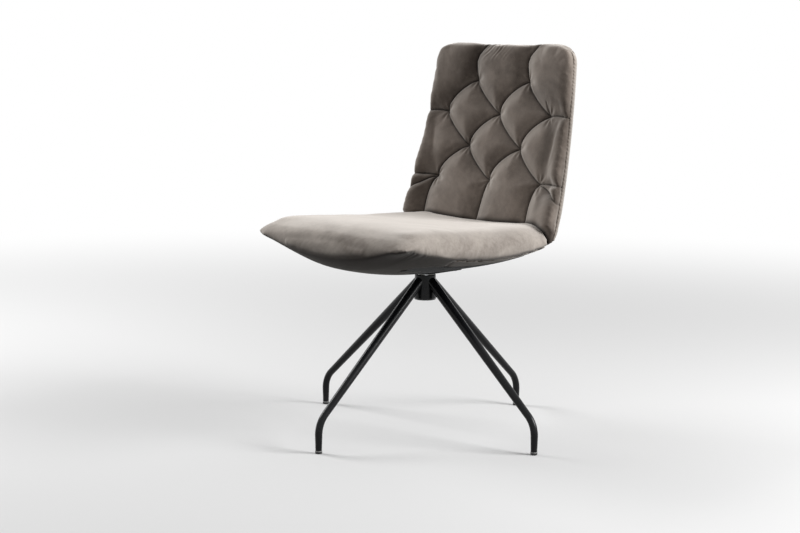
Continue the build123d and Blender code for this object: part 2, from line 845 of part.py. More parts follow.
def board_outline_at(height, inset):
    """The outline of the seat board, with its large front corners."""
    with BuildSketch(Plane.XY.offset(height)) as outline:
        with Locations((0, board_middle)):
            Rectangle(seat_board_width - 2 * inset, board_run - 2 * inset)
        front_corners = outline.vertices().group_by(Axis.Y)[0]
        rear_corners = outline.vertices().group_by(Axis.Y)[-1]
        fillet(front_corners, radius=seat_board_front_corner - inset)
        fillet(rear_corners, radius=seat_board_rear_corner - inset)
    return outline.sketch


with BuildPart() as seat_board:
    add(board_outline_at(seat_board_bottom, seat_board_bevel))
    add(board_outline_at(seat_board_top - seat_board_edge, 0.0))
    loft()
    add(board_outline_at(seat_board_top - seat_board_edge, 0.0))
    extrude(amount=seat_board_edge)
    with BuildSketch(Plane.XY.offset(seat_board_bottom)):
        with GridLocations(plate_bolt_pitch, plate_bolt_pitch, 2, 2):
            Circle(tee_nut_barrel / 2 + seat_clearance)
    extrude(amount=seat_board_thickness, mode=Mode.SUBTRACT)
    with BuildSketch(Plane.XY.offset(plate_bolt_top)):
        with GridLocations(plate_bolt_pitch, plate_bolt_pitch, 2, 2):
            Circle(tee_nut_flange / 2 + seat_clearance)
    extrude(amount=tee_nut_flange_thickness, mode=Mode.SUBTRACT)
    with Locations(*screw_planes):
        Cylinder(screw_hole, 2 * (screw_grip + bracket_thickness), mode=Mode.SUBTRACT)
save(seat_board, "seat_board")


def board_zone(bottom, top, growth):
    """The seat board's outline as a block, grown sideways."""
    with BuildPart() as zone:
        add(board_outline_at(bottom, -growth))
        extrude(amount=top - bottom)
    return zone.part


def under_seam_zone():
    """All that lies below the side seams, behind the slanted front edge of the side panel."""
    seam_top = seam_height(band_front)
    far = tool_reach * 0.75
    with BuildPart() as zone:
        with BuildSketch(Plane.YZ.offset(-far)):
            with BuildLine():
                ThreePointArc((band_front, seam_top), (0, seam_low), (-band_front, seam_top))
                Polyline(
                    (-band_front, seam_top),
                    (far, seam_height(far) - 20),
                    (far, far),
                    (band_front + (seam_top - far), far),
                    (band_front, seam_top),
                )
            make_face()
        extrude(amount=2 * far)
    return zone.part


# ---------------------------------------------------------------- seat cushion and under pad

with BuildPart() as seat_cushion:
    add(seat_envelope.part)
    add(rear_wall_zone(0.0, tool_reach, rear_wall_above, rear_wall_below), mode=Mode.SUBTRACT)
    add(board_zone(seat_board_bottom - soft_gap, seat_board_top + soft_gap, soft_gap), mode=Mode.SUBTRACT)
    add(bracket_pockets(), mode=Mode.SUBTRACT)
    lower = under_seam_zone() - board_zone(seat_board_top + soft_gap, 600.0, soft_gap)
    add(lower, mode=Mode.SUBTRACT)
save(seat_cushion, "seat_cushion")

with BuildPart() as seat_under_pad:
    add(seat_envelope.part)
    add(under_seam_zone(), mode=Mode.INTERSECT)
    add(rear_wall_zone(0.0, tool_reach, rear_wall_above, rear_wall_below), mode=Mode.SUBTRACT)
    add(board_zone(seat_board_bottom - soft_gap, 600.0, soft_gap), mode=Mode.SUBTRACT)
    add(bracket_pockets(), mode=Mode.SUBTRACT)
    with BuildSketch(Plane.XY.offset(seat_keel - 20)):
        RectangleRounded(block_side + 2 * soft_gap, block_side + 2 * soft_gap, plate_corner)
    extrude(amount=seat_board_bottom - seat_keel + 20, mode=Mode.SUBTRACT)
save(seat_under_pad, "seat_under_pad")

# ---------------------------------------------------------------- dust cover

dust_cover_half_width = seat_half_width - dust_cover_margin
sheet_half_width = dust_cover_half_width + dust_cover_trim
sheet_rear = dust_cover_rear + dust_cover_trim
sheet_front = dust_cover_front - dust_cover_trim
sheet_steps = 7
with BuildPart() as dust_cover:
    for step in range(sheet_steps + 1):
        y = sheet_rear + (sheet_front - sheet_rear) * step / sheet_steps
        half_width = seat_half_width_at(y)
        edge = hull_height(sheet_half_width, half_width, seam_height(y), keel_height(y))
        above = Vector(0, -dust_cover_gap)
        below = Vector(0, -dust_cover_gap - dust_cover_thickness)
        left = Vector(-sheet_half_width, edge)
        middle = Vector(0, keel_height(y))
        right = Vector(sheet_half_width, edge)
        with BuildSketch(Plane.XZ.offset(-y)):
            with BuildLine():
                ThreePointArc(left + above, middle + above, right + above)
                Line(right + above, right + below)
                ThreePointArc(right + below, middle + below, left + below)
                Line(left + below, left + above)
            make_face()
    loft()
    with BuildSketch(Plane.XY.offset(seat_keel - 10)):
        with Locations((0, (dust_cover_front + dust_cover_rear) / 2)):
            RectangleRounded(
                2 * dust_cover_half_width, dust_cover_rear - dust_cover_front, dust_cover_corner
            )
    extrude(amount=100, mode=Mode.INTERSECT)
    with BuildSketch(Plane.XY.offset(seat_keel - 10)):
        RectangleRounded(plate_side + 2, plate_side + 2, plate_corner)
    extrude(amount=100, mode=Mode.SUBTRACT)
save(dust_cover, "dust_cover")

# ---------------------------------------------------------------- tuft twine

twine_planes = []
for x, s in tuft_places:
    twine_planes.append(Plane(origin=face_point(x, s, 0), x_dir=(1, 0, 0), z_dir=back_rearward))


def board_rear_depth(x, s):
    """How far behind the face the rear of the back board lies."""
    return parting_depth(x, s) - bow(s) - wrap(x) + back_board_thickness + twine_button_gap


with BuildPart() as tuft_twine:
    for (x, s), place in zip(tuft_places, twine_planes):
        rear_depth = board_rear_depth(x, s)
        with BuildSketch(place.offset(tuft_depth + soft_gap)):
            Circle(twine_diameter / 2)
        extrude(amount=rear_depth - tuft_depth - soft_gap)
        with BuildSketch(place.offset(rear_depth)):
            Circle(twine_button / 2)
        extrude(amount=twine_button_thickness)
save(tuft_twine, "tuft_twine")


def twine_holes(radius):
    """The stitch holes, from the tufts to behind the board."""
    with BuildPart() as holes:
        for (x, s), place in zip(tuft_places, twine_planes):
            with BuildSketch(place):
                Circle(radius)
            extrude(amount=board_rear_depth(x, s) + 1)
    return holes.part


stitch_hole = twine_diameter / 2 + 0.2

# ---------------------------------------------------------------- back pieces

with BuildPart() as back_pad:
    for s in back_stations:
        add(pad_section(s))
    loft()
    add(below_hull_zone(), mode=Mode.SUBTRACT)
    add(rear_wall_zone(soft_gap, -tool_reach, soft_wall_above, tool_reach / 2), mode=Mode.SUBTRACT)
    add(bracket_pockets(), mode=Mode.SUBTRACT)
    with Locations(*screw_planes):
        Cylinder(screw_hole, 2 * (screw_grip + bracket_thickness), mode=Mode.SUBTRACT)
    for x, s, other_x, other_s in crease_places:
        crease(face_point(x, s, 0), face_point(other_x, other_s, 0), crease_radius, crease_depth)
    for x, s in tuft_places[:2]:
        crease(face_point(x, s, 0), face_point(x, back_top, 0), pleat_radius, pleat_depth)
    for x, s in tuft_places[-3:]:
        crease(face_point(x, s, 0), face_point(x, pleat_foot, 0), pleat_radius, pleat_depth)
    for x, s in tuft_places:
        if abs(x) == tuft_pitch:
            side_x = x / abs(x) * outline_at(s)
            crease(face_point(x, s, 0), face_point(side_x, s, 0), pleat_radius, pleat_depth)
    for x, s in tuft_places:
        with Locations(face_point(x, s, tuft_depth - tuft_radius)):
            Sphere(tuft_radius, mode=Mode.SUBTRACT)
    add(twine_holes(stitch_hole), mode=Mode.SUBTRACT)
save(back_pad, "back_pad")

with BuildPart() as back_board:
    add(board_outline(0.0))
    with Locations(*screw_planes):
        Cylinder(screw_hole, 2 * (screw_grip + bracket_thickness), mode=Mode.SUBTRACT)
    add(twine_holes(stitch_hole), mode=Mode.SUBTRACT)
save(back_board, "back_board")

with BuildPart() as back_rear_panel:
    for s in back_stations:
        add(rear_section(s))
    loft()
    add(below_hull_zone(), mode=Mode.SUBTRACT)
    add(board_outline(1.0), mode=Mode.SUBTRACT)
    for (x, s), place in zip(tuft_places, twine_planes):
        with BuildSketch(place.offset(board_rear_depth(x, s) - 1)):
            Circle(twine_button / 2 + soft_gap)
        extrude(amount=twine_button_thickness + 1 + soft_gap, mode=Mode.SUBTRACT)
save(back_rear_panel, "back_rear_panel")

# ---------------------------------------------------------------- side borders

border_stations = [s for s in back_stations if s <= corner_start]
for side, sign in (("left", -1), ("right", 1)):
    with BuildPart() as border:
        for s in border_stations:
            inner = outline_at(s) + border_gap
            outer = inner + border_thickness
            seam_y = seam_depth(s)
            middle_y = parting_depth(outline_at(s), s)
            rear_y = seam_depth(s) + side_depth_at(s) - border_gap
            rear_inset = rear_inset_at(s)
            with BuildSketch(back_plane(s)):
                with BuildLine():
                    Polyline(
                        (sign * inner, seam_y),
                        (sign * outer, seam_y),
                        (sign * outer, middle_y),
                        (sign * (outer - rear_inset), rear_y),
                        (sign * (inner - rear_inset), rear_y),
                        (sign * inner, middle_y),
                        close=True,
                    )
                make_face()
        loft()
        add(below_hull_zone(), mode=Mode.SUBTRACT)
    save(border, f"back_border_{side}")
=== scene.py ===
"""Looks of the swivel dining chair: velvet seat and tufted back turning on a black tube base."""

import json
from math import cos, pi, radians, sin

import bmesh
import bpy
import numpy as np
from mathutils import Matrix, Vector
from mathutils.bvhtree import BVHTree


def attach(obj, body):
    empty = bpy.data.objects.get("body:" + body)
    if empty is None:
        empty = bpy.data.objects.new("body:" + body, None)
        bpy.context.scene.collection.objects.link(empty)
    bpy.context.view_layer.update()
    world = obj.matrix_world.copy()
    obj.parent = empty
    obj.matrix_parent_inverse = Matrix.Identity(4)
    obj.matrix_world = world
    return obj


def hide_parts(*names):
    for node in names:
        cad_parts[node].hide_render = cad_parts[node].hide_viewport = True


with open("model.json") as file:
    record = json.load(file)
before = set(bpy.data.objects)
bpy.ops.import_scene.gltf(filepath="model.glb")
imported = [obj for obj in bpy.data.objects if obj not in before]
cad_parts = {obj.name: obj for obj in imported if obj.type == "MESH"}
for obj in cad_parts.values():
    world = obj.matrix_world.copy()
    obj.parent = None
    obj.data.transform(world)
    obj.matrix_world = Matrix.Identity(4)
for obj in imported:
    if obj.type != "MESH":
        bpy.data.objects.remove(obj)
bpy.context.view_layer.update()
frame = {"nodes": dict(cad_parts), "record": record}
nodes = frame["nodes"]
scene = bpy.context.scene
scene.view_settings.view_transform = "Standard"

# ---------------------------------------------------------------- the chair's sizes, in metres

# The back leans. x runs across it, s up along it and depth rearwards, all from its origin.
back_origin = Vector((0.0, 0.245, 0.708))
back_lean = radians(11.6)
up = Vector((0, sin(back_lean), cos(back_lean)))
rearward = Vector((0, cos(back_lean), -sin(back_lean)))
back_half_width = 0.229  # at the origin
back_taper = 0.070  # lost on each side per metre of height
back_foot = -0.150  # below this the outline draws in
back_foot_taper = 0.3
back_bow = 0.2253  # how the face curves up along the back
back_wrap = 0.2155  # and across it
back_top = 0.213
top_corner = 0.042

# The strips along the sides of the back
side_roll = 0.010  # from the face back to a strip's front seam
side_depth = 0.018
side_foot = -0.170  # below this a strip narrows
side_foot_height = 0.090
side_foot_loss = 0.8  # the share that it loses
rear_edge_inset = 0.005
border_top = 0.196
border_foot = -0.252
border_end_fade = 0.012  # the strip flattens over this length at both ends
border_cover = 0.0004  # a strip's cloth lies this far outside the solid,
border_lining = 0.0012  # its inner face this far inside,
border_overlap = 0.0006  # and its seams this far over the edges of the solid
border_bulge = 0.0010
border_pucker = 0.0008
border_pucker_length = 0.0095

# Tufts, creases and pleats of the back pad
tufts_in_rows = (2, 3, 2, 3)  # from the top
tuft_pitch = 0.165
tuft_row_pitch = 0.0823
tuft_depth = 0.0118  # below the plain face
tuft_hole = 0.008  # width of a tuft's steep middle
tuft_dish = 0.026  # and of the dish round it
crease_depth = 0.0072
crease_sag = 0.0022  # a crease is this much shallower half way between its tufts
crease_cut = 0.0050  # width of a crease's steep middle
crease_dish = 0.022  # and of the dish along it
least_sharp = 0.2  # what is less sharp than this is a dip without a line
crease_faint = 0.6  # a pleat fades out where it is below this share of a crease's depth
crease_run_out = 0.030  # the padding treats a pleat that has faded out as this far away,
line_run_out = 0.05  # and its line goes this share of it away
rising_bow = 0.015  # a crease that rises to the right stands off up and left
falling_bow = -0.007  # one that falls to the right, down and left
puff = 0.0086  # the padding stands this far above the plain face between the creases
puff_reach = 0.042  # it is that full this far from the nearest crease
edge_puff = 0.0004  # along its sides it stands this much further forward near the top
edge_puff_low = 0.0088  # and this much near the seat

# (depth at the start, depth at the end, sharp share), depths as shares of a crease's
between_tufts = (1, 1, 0.5)
over_the_top = (1.2, 0.7, 0.5)
down_to_the_seat = (1.1, 0.6, 0.45)
level_to_the_side = (1.1, 0.12, 0.45)
upper_slanting = (0.5, 0.1, 0.15)
lower_slanting = (0.8, 0.12, 0.35)
valley_by_the_side = (0.9, 0.9, 0.0)
short_side_fold = (0.7, 0.0, 0.4)

# A pleat's way from an upper tuft over the top, as (across, up) from the tuft
top_pleat = (
    (0, 0),
    (-0.007, 0.027),
    (-0.009, 0.045),
    (-0.003, 0.062),
    (0.009, 0.075),
    (0.028, 0.092),
)
seat_pleat_foot = -0.26
seat_pleat_drift = -0.012
seat_pleat_bow = -0.016
seat_pleat_bow_middle = -0.006
side_tufts = 0.9  # tufts further out than this share of the pitch have pleats to the side
side_pleat_past = 0.008  # which end this far past the outline
level_drop = 0.003
level_bow = 0.003
slanting_drop = 0.048
slanting_start = (0.006, -0.004)  # (outwards, up) from the tuft
slanting_bow = 0.006
valley_aside = 0.008  # the valley between two tufts at a side: out from them,
valley_gap = 0.010  # this far from both,
valley_bow = 0.024  # and bowed outwards
short_fold = (-0.010, 0.034)  # (across, up) from the second row's right tuft
short_fold_bow = 0.002

# The seat. Its side seam runs lowest at the swivel axis and starts behind the nose.
seam_low = 0.4375
seam_rise = 0.53
band_front = -0.155
nose_tip = 0.0095  # the corners of the nose are drawn out this far
nose_tip_way = (0.62, -0.71, -0.33)  # sideways, forwards and down

# ---------------------------------------------------------------- mesh helpers


def deselect():
    bpy.ops.object.select_all(action="DESELECT")


def apply(piece, modifier):
    """Apply one modifier of a piece."""
    deselect()
    piece.select_set(True)
    bpy.context.view_layer.objects.active = piece
    bpy.ops.object.modifier_apply(modifier=modifier.name)


def points_of(piece):
    """The piece's points as rows of x, y, z."""
    points = np.empty(len(piece.data.vertices) * 3)
    piece.data.vertices.foreach_get("co", points)
    return points.reshape(-1, 3)


def set_points(piece, points):
    piece.data.vertices.foreach_set("co", points.ravel())
    piece.data.update()


def normals_of(piece):
    normals = np.empty(len(piece.data.vertices) * 3)
    piece.data.vertices.foreach_get("normal", normals)
    return normals.reshape(-1, 3)


def smooth_step(values, low, high):
    """0 below low, 1 above high, and an even turn between them."""
    share = np.clip((values - low) / (high - low), 0, 1)
    return share * share * (3 - 2 * share)


def bell(*offsets):
    """1 in the middle and fading to 0 around it; each offset is (distance, width)."""
    fall = 0
    for distance, width in offsets:
        fall = fall - (distance / width) ** 2
    return np.exp(fall)


def wander(values, turn, rate):
    """A slow swing that keeps a row of waves uneven."""
    return turn * np.sin(values * rate)


def copy_of(node_name, piece_name):
    """A welded copy of a CAD solid as a new piece."""
    mesh = nodes[node_name].data.copy()
    mesh.name = piece_name
    mesh.materials.clear()
    piece = bpy.data.objects.new(piece_name, mesh)
    scene.collection.objects.link(piece)
    build = bmesh.new()
    build.from_mesh(mesh)
    bmesh.ops.remove_doubles(build, verts=build.verts, dist=1e-5)
    bmesh.ops.recalc_face_normals(build, faces=build.faces)
    build.to_mesh(mesh)
    build.free()
    return piece


def voxels(piece, size):
    """Give a closed form an even skin of small quads."""
    modifier = piece.modifiers.new("Even skin", "REMESH")
    modifier.mode = "VOXEL"
    modifier.voxel_size = size
    modifier.use_smooth_shade = True
    apply(piece, modifier)


def relax(piece, rounds):
    """Smooth the steps out of a skin."""
    modifier = piece.modifiers.new("Relax", "SMOOTH")
    modifier.factor = 0.5
    modifier.iterations = rounds
    apply(piece, modifier)


def subdivide(piece):
    """Part each quad of a skin in four."""
    modifier = piece.modifiers.new("Finer skin", "SUBSURF")
    modifier.levels = 1
    modifier.render_levels = 1
    apply(piece, modifier)


def plump(piece, held, pressure, furthest):
    """Blow the cover up as cloth, where it isn't held, no point moving further than the limit."""
    hold_steps = 10
    last_moment = 20
    start = points_of(piece)
    group = piece.vertex_groups.new(name="held")
    levels = np.round(held * hold_steps) / hold_steps
    for level in np.unique(levels):
        if level > 0:
            group.add(np.flatnonzero(levels == level).tolist(), float(level), "REPLACE")
    modifier = piece.modifiers.new("Cloth", "CLOTH")
    settings = modifier.settings
    settings.quality = 5
    settings.mass = 0.3
    settings.tension_stiffness = 12
    settings.compression_stiffness = 12
    settings.shear_stiffness = 5
    settings.bending_stiffness = 0.4
    settings.use_pressure = True
    settings.uniform_pressure_force = pressure
    settings.vertex_group_mass = "held"
    settings.effector_weights.gravity = 0
    modifier.collision_settings.use_collision = False
    modifier.point_cache.frame_start = 1
    modifier.point_cache.frame_end = last_moment
    for moment in range(1, last_moment + 1):
        scene.frame_set(moment)
    blown = piece.evaluated_get(bpy.context.evaluated_depsgraph_get())
    moved = np.empty(len(start) * 3)
    blown.data.vertices.foreach_get("co", moved)
    shift = moved.reshape(-1, 3) - start
    length = np.linalg.norm(shift, axis=1, keepdims=True)
    shift *= furthest * np.tanh(length / furthest) / np.maximum(length, 1e-9)
    piece.modifiers.remove(modifier)
    piece.vertex_groups.remove(group)
    set_points(piece, start + shift)
    scene.frame_set(1)


def distance_to_path(x, s, path):
    """(distance to a path of points, how far along it the nearest place is, 0 to 1)."""
    best = np.full(len(x), np.inf)
    along = np.zeros(len(x))
    for number in range(len(path) - 1):
        start, end = np.array(path[number]), np.array(path[number + 1])
        run = end - start
        share = np.clip(((x - start[0]) * run[0] + (s - start[1]) * run[1]) / (run @ run), 0, 1)
        away = np.hypot(x - start[0] - share * run[0], s - start[1] - share * run[1])
        nearer = away < best
        best = np.where(nearer, away, best)
        along = np.where(nearer, (number + share) / (len(path) - 1), along)
    return best, along


def bowed_path(start, end, bow):
    """A curved line that stands off the straight one by bow, most of all in its first half."""
    lead, count = 0.75, 12
    run = Vector(end) - Vector(start)
    side = Vector((-run.y, run.x)).normalized()
    path = []
    for number in range(count + 1):
        share = number / count
        bent = share**lead
        path.append(tuple(Vector(start) + run * share + side * (4 * bow * bent * (1 - bent))))
    return path


def set_painted_shade(piece, folds_and_painted_shade):
    """Store each point's painted shade, 0 to 1, which darkens the velvet's colour towards near
    black.
    """
    attribute = piece.data.attributes.new("painted_shade", "FLOAT", "POINT")
    attribute.data.foreach_set("value", np.clip(folds_and_painted_shade, 0, 1))


# ---------------------------------------------------------------- the back's surfaces


def outline_at(s):
    """Half width of the back at s along its height."""
    into_corner = np.clip(s - (back_top - top_corner), 0, top_corner)
    rounding = top_corner - np.sqrt(np.maximum(top_corner**2 - into_corner**2, 0))
    into_foot = np.clip(back_foot - s, 0, None)
    return back_half_width - back_taper * s - rounding - back_foot_taper * into_foot**2


def face_depth(x, s):
    """Depth of the plain face, before it is tufted."""
    return -back_bow * s**2 - back_wrap * x**2


def side_depth_at(s):
    """From the front edge of a side strip to its rear edge."""
    into_foot = np.clip((side_foot - s) / side_foot_height, 0, 1)
    return side_depth * (1 - side_foot_loss * into_foot**2)


def local(points):
    """Points as x, s along the height and depth behind the upright plane of the back."""
    offset = points - np.array(back_origin)
    return points[:, 0], offset @ np.array(up), offset @ np.array(rearward)


def place(x, s, depth):
    """Points from x, s and depth."""
    zero = np.zeros_like(x)
    across = np.array(back_origin) + np.stack([x, zero, zero], axis=1)
    return across + np.outer(s, np.array(up)) + np.outer(depth, np.array(rearward))


tufts = []
for row, in_row in enumerate(tufts_in_rows):
    row_height = ((len(tufts_in_rows) - 1) / 2 - row) * tuft_row_pitch
    for number in range(in_row):
        tufts.append(((number - (in_row - 1) / 2) * tuft_pitch, row_height))


def crease_list():
    """(path, depth at its start, depth at its end, sag, sharp share) of creases and pleats."""
    found = []

    def draw(path, kind, sag=0.0):
        start_share, end_share, sharp = kind
        found.append((path, crease_depth * start_share, crease_depth * end_share, sag, sharp))

    nearly = 0.001
    for tuft in tufts:
        for other in tufts:
            next_row = abs(tuft[1] - tuft_row_pitch - other[1]) < nearly
            if next_row and abs(tuft[0] - other[0] - tuft_pitch / 2) < nearly:
                draw(bowed_path(other, tuft, rising_bow), between_tufts, crease_sag)
            if next_row and abs(other[0] - tuft[0] - tuft_pitch / 2) < nearly:
                draw(bowed_path(tuft, other, falling_bow), between_tufts, crease_sag)
    for x, s in tufts[: tufts_in_rows[0]]:
        draw([(x + across, s + above) for across, above in top_pleat], over_the_top)
    for x, s in tufts[-tufts_in_rows[-1] :]:
        bow = seat_pleat_bow if x else seat_pleat_bow_middle
        draw(bowed_path((x, s), (x + seat_pleat_drift, seat_pleat_foot), bow), down_to_the_seat)
    for x, s in tufts:
        if abs(x) > tuft_pitch * side_tufts:
            side = x / abs(x)
            edge = side * (float(outline_at(s)) + side_pleat_past)
            level = bowed_path((x, s), (edge, s - level_drop), level_bow * side)
            draw(level, level_to_the_side)
            outwards, above = slanting_start
            beside = (x + outwards * side, s + above)
            slanting = bowed_path(beside, (edge, s - slanting_drop), slanting_bow * side)
            if s > 0:
                draw(slanting, upper_slanting)
                top = (x + valley_aside * side, s - valley_gap)
                foot = (x + valley_aside * side, s - 2 * tuft_row_pitch + valley_gap)
                draw(bowed_path(top, foot, valley_bow * side), valley_by_the_side)
            else:
                draw(slanting, lower_slanting)
    x, s = tufts[sum(tufts_in_rows[:2]) - 1]
    across, above = short_fold
    draw(bowed_path((x, s), (x + across, s + above), short_fold_bow), short_side_fold)
    return found


creases = crease_list()


def tufting(x, s):
    """How the tufts and creases draw the face in at x and s.

    Gives the depth below the plain face, the distance to the nearest tuft, crease or pleat that
    holds the padding down, and the distance to the nearest line that a crease or pleat cuts.
    """
    inward = np.zeros_like(x)
    nearest = np.full(len(x), 1.0)
    line = np.full(len(x), 1.0)
    for path, at_start, at_end, sag, sharp in creases:
        away, along = distance_to_path(x, s, path)
        strength = at_start + (at_end - at_start) * along - sag * 4 * along * (1 - along)
        groove = sharp * np.exp(-away / crease_cut) + (1 - sharp) * bell((away, crease_dish))
        inward = np.maximum(inward, strength * groove)
        if sharp > least_sharp:
            fading = np.clip(1 - strength / (crease_depth * crease_faint), 0, 1)
            fading = crease_run_out * fading
            nearest = np.minimum(nearest, away + fading)
            line = np.minimum(line, away + line_run_out * fading)
    pit = np.zeros_like(x)
    for tuft_x, tuft_s in tufts:
        away = np.hypot(x - tuft_x, s - tuft_s)
        dimple = tuft_depth * (0.5 * np.exp(-away / tuft_hole) + 0.5 * bell((away, tuft_dish)))
        pit = np.maximum(pit, dimple)
        nearest = np.minimum(nearest, away)
        line = np.minimum(line, away)
    inward = np.maximum(inward, pit)
    return inward - puff * smooth_step(nearest, 0.0, puff_reach), nearest, line


# ---------------------------------------------------------------- nodes


def link(tree, source, target):
    tree.links.new(source, target)


def feed(tree, source, target):
    """Link a socket to an input, or set the input to a number or a colour."""
    if isinstance(source, bpy.types.NodeSocket):
        link(tree, source, target)
    elif isinstance(source, tuple):
        target.default_value = (*source, 1)
    else:
        target.default_value = source


def object_spot(tree):
    """Places on the piece, in metres."""
    return tree.nodes.new("ShaderNodeTexCoord").outputs["Object"]


def noise(tree, vector, scale, detail, roughness=0.5, distortion=0.0):
    """Cloudy noise, 0 to 1."""
    cloud = tree.nodes.new("ShaderNodeTexNoise")
    feed(tree, vector, cloud.inputs["Vector"])
    feed(tree, scale, cloud.inputs["Scale"])
    feed(tree, detail, cloud.inputs["Detail"])
    feed(tree, roughness, cloud.inputs["Roughness"])
    feed(tree, distortion, cloud.inputs["Distortion"])
    return cloud.outputs["Fac"]


def blend(tree, share, first, second):
    """A value that goes from first to second with the share."""
    mix = tree.nodes.new("ShaderNodeMix")
    feed(tree, share, mix.inputs["Factor"])
    feed(tree, first, mix.inputs["A"])
    feed(tree, second, mix.inputs["B"])
    return mix.outputs["Result"]


def colour_between(tree, share, first, second):
    """A colour that goes from first to second with the share."""
    mix = tree.nodes.new("ShaderNodeMix")
    mix.data_type = "RGBA"
    feed(tree, share, mix.inputs["Factor"])
    feed(tree, first, mix.inputs["A"])
    feed(tree, second, mix.inputs["B"])
    return mix.outputs["Result"]


def respread(tree, value, **ends):
    """A value with its From and To ends moved."""
    spread = tree.nodes.new("ShaderNodeMapRange")
    for label, end in ends.items():
        spread.inputs[label.replace("_", " ")].default_value = end
    link(tree, value, spread.inputs["Value"])
    return spread


def calculate(tree, operation, first, second):
    """One operation on two values."""
    node = tree.nodes.new("ShaderNodeMath")
    node.operation = operation
    feed(tree, first, node.inputs[0])
    feed(tree, second, node.inputs[1])
    return node.outputs[0]


# ---------------------------------------------------------------- node groups


def group_with(name, inputs, outputs):
    """An empty node group with its sockets."""
    group = bpy.data.node_groups.new(name, "ShaderNodeTree")
    for label, kind, value in inputs:
        socket = group.interface.new_socket(label, in_out="INPUT", socket_type=kind)
        socket.default_value = value
    for label, kind in outputs:
        group.interface.new_socket(label, in_out="OUTPUT", socket_type=kind)
    start = group.nodes.new("NodeGroupInput")
    end = group.nodes.new("NodeGroupOutput")
    return group, start, end


def velvet_nap():
    """Brushed and crushed pile: Shade is 0 to 1, Height feeds a bump."""
    group, start, end = group_with(
        "velvet nap",
        [
            ("Patch Scale", "NodeSocketFloat", 7.0),
            ("Stroke Scale", "NodeSocketFloat", 60.0),
            ("Stroke Share", "NodeSocketFloat", 0.22),
            ("Stretch", "NodeSocketVector", (1.0, 1.3, 1.3)),
            ("Turn", "NodeSocketVector", (0.0, 0.0, 0.0)),
        ],
        [("Shade", "NodeSocketFloat"), ("Height", "NodeSocketFloat")],
    )
    spot = object_spot(group)
    patch_scale, stroke_scale = start.outputs["Patch Scale"], start.outputs["Stroke Scale"]
    patches = noise(group, spot, patch_scale, detail=5.0, roughness=0.62, distortion=0.6)
    stretch = group.nodes.new("ShaderNodeMapping")
    stretch.vector_type = "TEXTURE"
    link(group, start.outputs["Stretch"], stretch.inputs["Scale"])
    link(group, start.outputs["Turn"], stretch.inputs["Rotation"])
    link(group, spot, stretch.inputs["Vector"])
    strokes = noise(group, stretch.outputs["Vector"], stroke_scale, detail=6.0, roughness=0.7)
    pile = noise(group, spot, scale=900.0, detail=2.0)
    brushed = blend(group, start.outputs["Stroke Share"], patches, strokes)
    speckle_share, pile_share = 0.12, 0.5
    speckled = blend(group, speckle_share, brushed, pile)
    shade = respread(group, speckled, From_Min=0.37, From_Max=0.63)
    link(group, shade.outputs["Result"], end.inputs["Shade"])
    link(group, blend(group, pile_share, strokes, pile), end.inputs["Height"])
    return group


def paint_skin():
    """Fine orange peel with rubbed places: Rub is 0 to 1, Height feeds a bump."""
    group, start, end = group_with(
        "paint skin",
        [("Grain", "NodeSocketFloat", 500.0), ("Rub Scale", "NodeSocketFloat", 14.0)],
        [("Rub", "NodeSocketFloat"), ("Height", "NodeSocketFloat")],
    )
    spot = object_spot(group)
    rubbed = noise(group, spot, start.outputs["Rub Scale"], detail=4.0)
    rub = respread(group, rubbed, From_Min=0.3, From_Max=0.7)
    link(group, rub.outputs["Result"], end.inputs["Rub"])
    grain = noise(group, spot, start.outputs["Grain"], detail=2.0)
    link(group, grain, end.inputs["Height"])
    return group


def cloth_weave():
    """A plain weave of threads: Thread is 0 to 1, Height feeds a bump."""
    group, start, end = group_with(
        "cloth weave",
        [("Threads", "NodeSocketFloat", 1400.0)],
        [("Thread", "NodeSocketFloat"), ("Height", "NodeSocketFloat")],
    )
    spot = object_spot(group)
    waves = []
    for direction in ("X", "Y"):
        wave = group.nodes.new("ShaderNodeTexWave")
        wave.bands_direction = direction
        link(group, spot, wave.inputs["Vector"])
        link(group, start.outputs["Threads"], wave.inputs["Scale"])
        waves.append(wave.outputs["Fac"])
    crossing = calculate(group, "MULTIPLY", *waves)
    link(group, crossing, end.inputs["Thread"])
    link(group, crossing, end.inputs["Height"])
    return group


nap = velvet_nap()
skin = paint_skin()
weave = cloth_weave()

# ---------------------------------------------------------------- materials


def new_material(name):
    """(material, its tree, its shader)"""
    material = bpy.data.materials.new(name)
    material.use_nodes = True
    tree = material.node_tree
    shader = tree.nodes["Principled BSDF"]
    return material, tree, shader


def use_group(tree, group, **values):
    """Place a group in a material, with its own values."""
    node = tree.nodes.new("ShaderNodeGroup")
    node.node_tree = group
    for label, value in values.items():
        node.inputs[label.replace("_", " ")].default_value = value
    return node


def bump(tree, height, shader, strength, distance):
    """Raise the surface a little where the height is great."""
    node = tree.nodes.new("ShaderNodeBump")
    node.inputs["Strength"].default_value = strength
    node.inputs["Distance"].default_value = distance
    link(tree, height, node.inputs["Height"])
    link(tree, node.outputs["Normal"], shader.inputs["Normal"])


def rubbed_colour(colour, gain, lift=0.0):
    """The colour where it is rubbed or dulled."""
    return tuple(part * gain + lift for part in colour)


